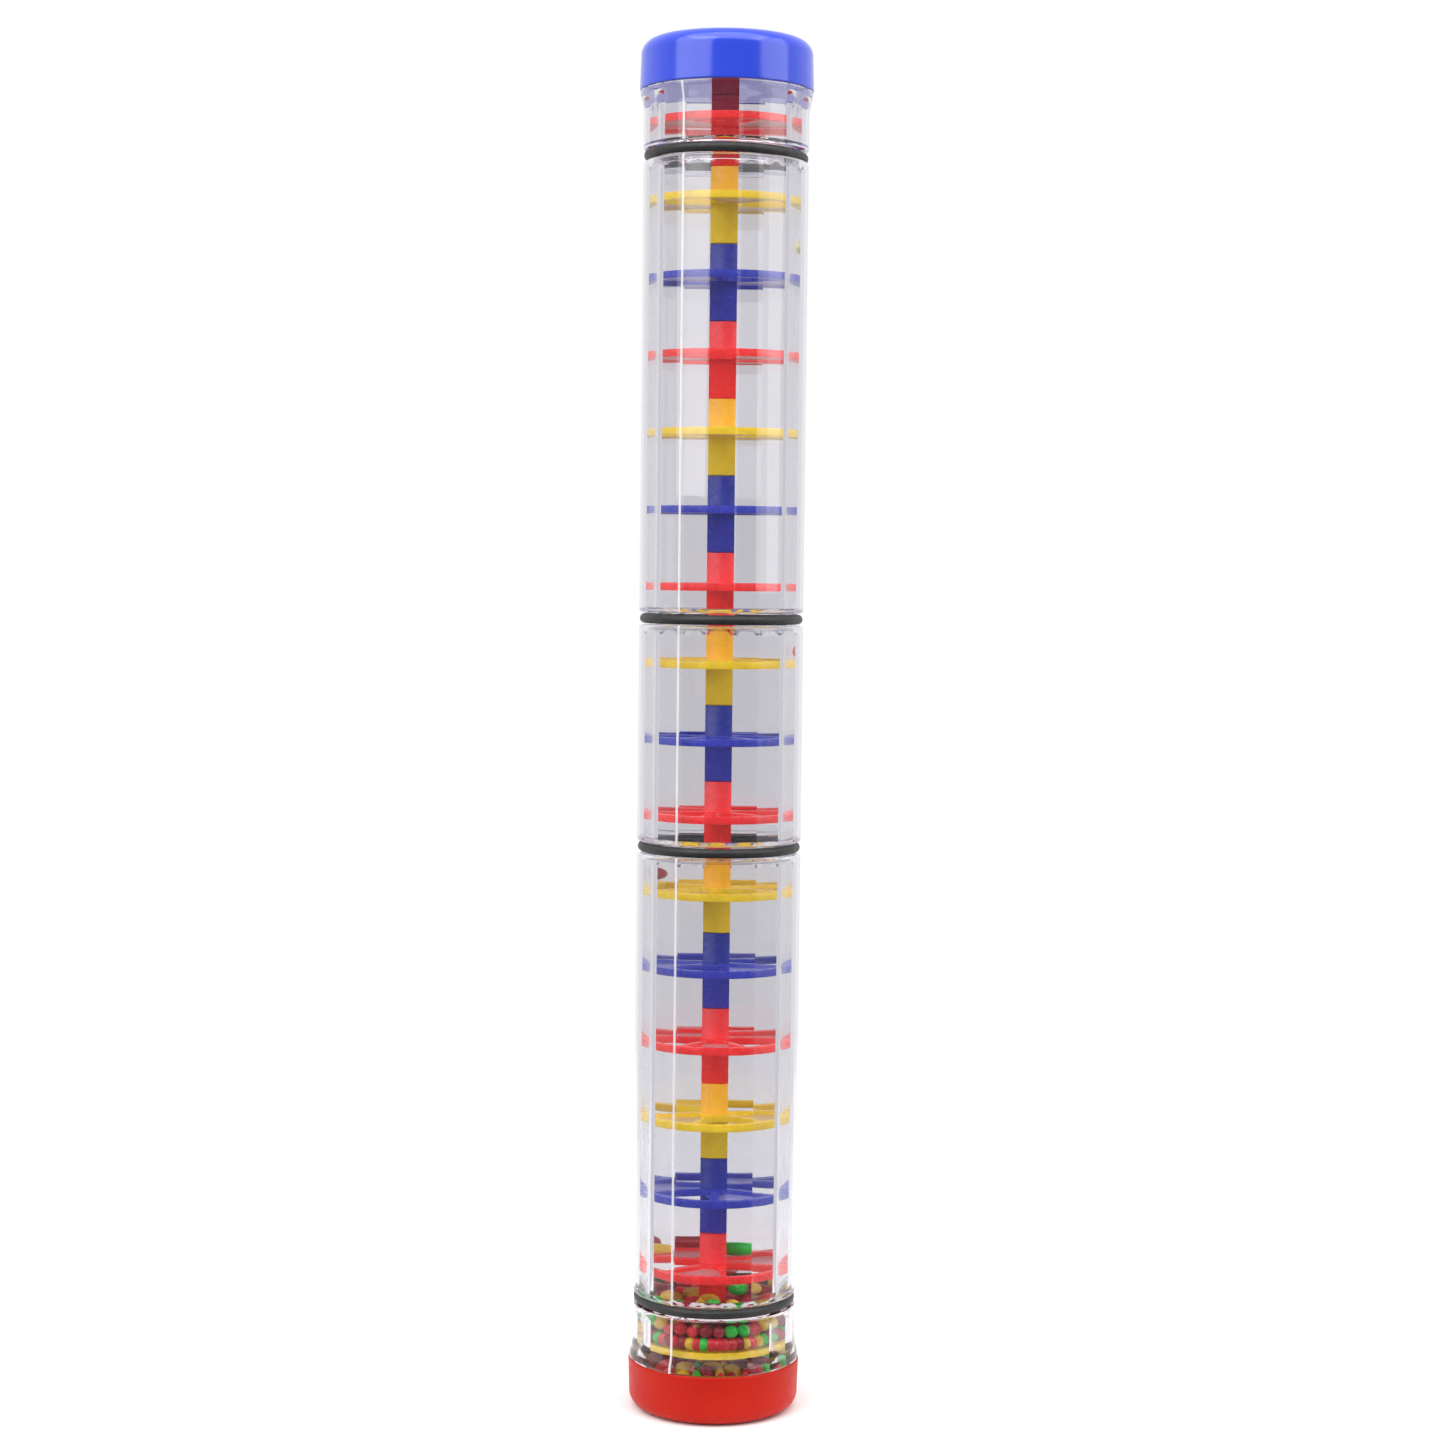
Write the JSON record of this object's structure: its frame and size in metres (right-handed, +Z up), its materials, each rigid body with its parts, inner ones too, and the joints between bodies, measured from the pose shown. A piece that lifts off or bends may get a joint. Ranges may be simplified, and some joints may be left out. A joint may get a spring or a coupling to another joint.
{
  "type": "rainstick",
  "caption": "Upright clear rainmaker tube with blue and red end caps, rubber O-rings, a central stack of slotted discs and loose beads that fall through them.",
  "frame": {"origin": "centre of the red cap's flat end face, on the surface the toy stands on", "axes": "+Z up the tube towards the blue cap, -Y towards the front, +X to the right"},
  "size_m": [0.0504, 0.0504, 0.4],
  "materials": {
    "cap_blue": "glossy moulded ABS, bright blue",
    "cap_red": "satin-gloss moulded ABS, red",
    "clear_tube": "polished clear styrene, faceted inside",
    "o_ring_rubber": "matt black rubber cord",
    "disc_red": "moulded plastic, red, slightly translucent",
    "disc_yellow": "moulded plastic, yellow, slightly translucent",
    "disc_blue": "moulded plastic, dark blue, slightly translucent",
    "bead_mix": "glossy translucent beads in green, red, maroon and yellow",
    "bead_pale_yellow": "glossy translucent bead",
    "bead_yellow": "glossy translucent bead",
    "bead_red": "glossy translucent bead",
    "bead_maroon": "glossy translucent bead",
    "bead_green": "glossy translucent bead"
  },
  "bodies": {
    "tube": {"top_cap": "cap_blue", "bottom_cap": "cap_red", "tube_section_1": "clear_tube", "tube_section_2": "clear_tube", "tube_section_3": "clear_tube", "tube_section_4": "clear_tube", "tube_section_5": "clear_tube", "o_ring_1": "o_ring_rubber", "o_ring_2": "o_ring_rubber", "o_ring_3": "o_ring_rubber", "o_ring_4": "o_ring_rubber", "disc_01": "disc_red", "disc_02": "disc_yellow", "disc_03": "disc_blue", "disc_04": "disc_red", "disc_05": "disc_yellow", "disc_06": "disc_blue", "disc_07": "disc_red", "disc_08": "disc_yellow", "disc_09": "disc_blue", "disc_10": "disc_red", "disc_11": "disc_yellow", "disc_12": "disc_blue", "disc_13": "disc_red", "disc_14": "disc_yellow", "disc_15": "disc_blue", "disc_16": "disc_red", "disc_17": "disc_yellow", "bead_bed_lower": "bead_mix", "bead_bed_upper": "bead_mix"},
    "bead_disc03_yellow": {"bead_disc03_yellow": "bead_pale_yellow"},
    "bead_disc08_red": {"bead_disc08_red": "bead_red"},
    "bead_disc11_maroon": {"bead_disc11_maroon": "bead_maroon"},
    "bead_disc16_maroon_a": {"bead_disc16_maroon_a": "bead_maroon"},
    "bead_disc16_maroon_b": {"bead_disc16_maroon_b": "bead_maroon"},
    "bead_disc16_yellow": {"bead_disc16_yellow": "bead_yellow"},
    "bead_disc16_green": {"bead_disc16_green": "bead_green"},
    "bead_bed_green_a": {"bead_bed_green_a": "bead_green"},
    "bead_bed_yellow": {"bead_bed_yellow": "bead_yellow"},
    "bead_bed_red_a": {"bead_bed_red_a": "bead_red"},
    "bead_bed_maroon": {"bead_bed_maroon": "bead_maroon"},
    "bead_bed_red_b": {"bead_bed_red_b": "bead_red"},
    "bead_bed_green_b": {"bead_bed_green_b": "bead_green"}
  },
  "joints": [
    {"name": "fall_disc03_yellow", "type": "slide", "parent": "tube", "child": "bead_disc03_yellow", "axis": [0, 0, 1], "range_m": [-0.0068, 0.0085]},
    {"name": "fall_disc08_red", "type": "slide", "parent": "tube", "child": "bead_disc08_red", "axis": [-0.2845, -0.1092, 0.9524], "range_m": [0, 0.0162]},
    {"name": "fall_disc11_maroon", "type": "slide", "parent": "tube", "child": "bead_disc11_maroon", "axis": [0.23, -0.2, 0.9524], "range_m": [0, 0.0162]},
    {"name": "fall_disc16_maroon_a", "type": "slide", "parent": "tube", "child": "bead_disc16_maroon_a", "axis": [0, 0, 1], "range_m": [0, 0.0378]},
    {"name": "fall_disc16_maroon_b", "type": "slide", "parent": "tube", "child": "bead_disc16_maroon_b", "axis": [0, 0, 1], "range_m": [0, 0.0155]},
    {"name": "fall_disc16_yellow", "type": "slide", "parent": "tube", "child": "bead_disc16_yellow", "axis": [0, 0, 1], "range_m": [0, 0.0155]},
    {"name": "fall_disc16_green", "type": "slide", "parent": "tube", "child": "bead_disc16_green", "axis": [0, 0, 1], "range_m": [0, 0.0155]},
    {"name": "fall_bed_green_a", "type": "slide", "parent": "tube", "child": "bead_bed_green_a", "axis": [0, 0, 1], "range_m": [0, 0.0236]},
    {"name": "fall_bed_yellow", "type": "slide", "parent": "tube", "child": "bead_bed_yellow", "axis": [0, 0, 1], "range_m": [0, 0.0236]},
    {"name": "fall_bed_red_a", "type": "slide", "parent": "tube", "child": "bead_bed_red_a", "axis": [0, 0, 1], "range_m": [0, 0.0236]},
    {"name": "fall_bed_maroon", "type": "slide", "parent": "tube", "child": "bead_bed_maroon", "axis": [0, 0, 1], "range_m": [0, 0.0236]},
    {"name": "fall_bed_red_b", "type": "slide", "parent": "tube", "child": "bead_bed_red_b", "axis": [0, 0, 1], "range_m": [0, 0.0236]},
    {"name": "fall_bed_green_b", "type": "slide", "parent": "tube", "child": "bead_bed_green_b", "axis": [0, 0, 1], "range_m": [0, 0.0236]}
  ]
}
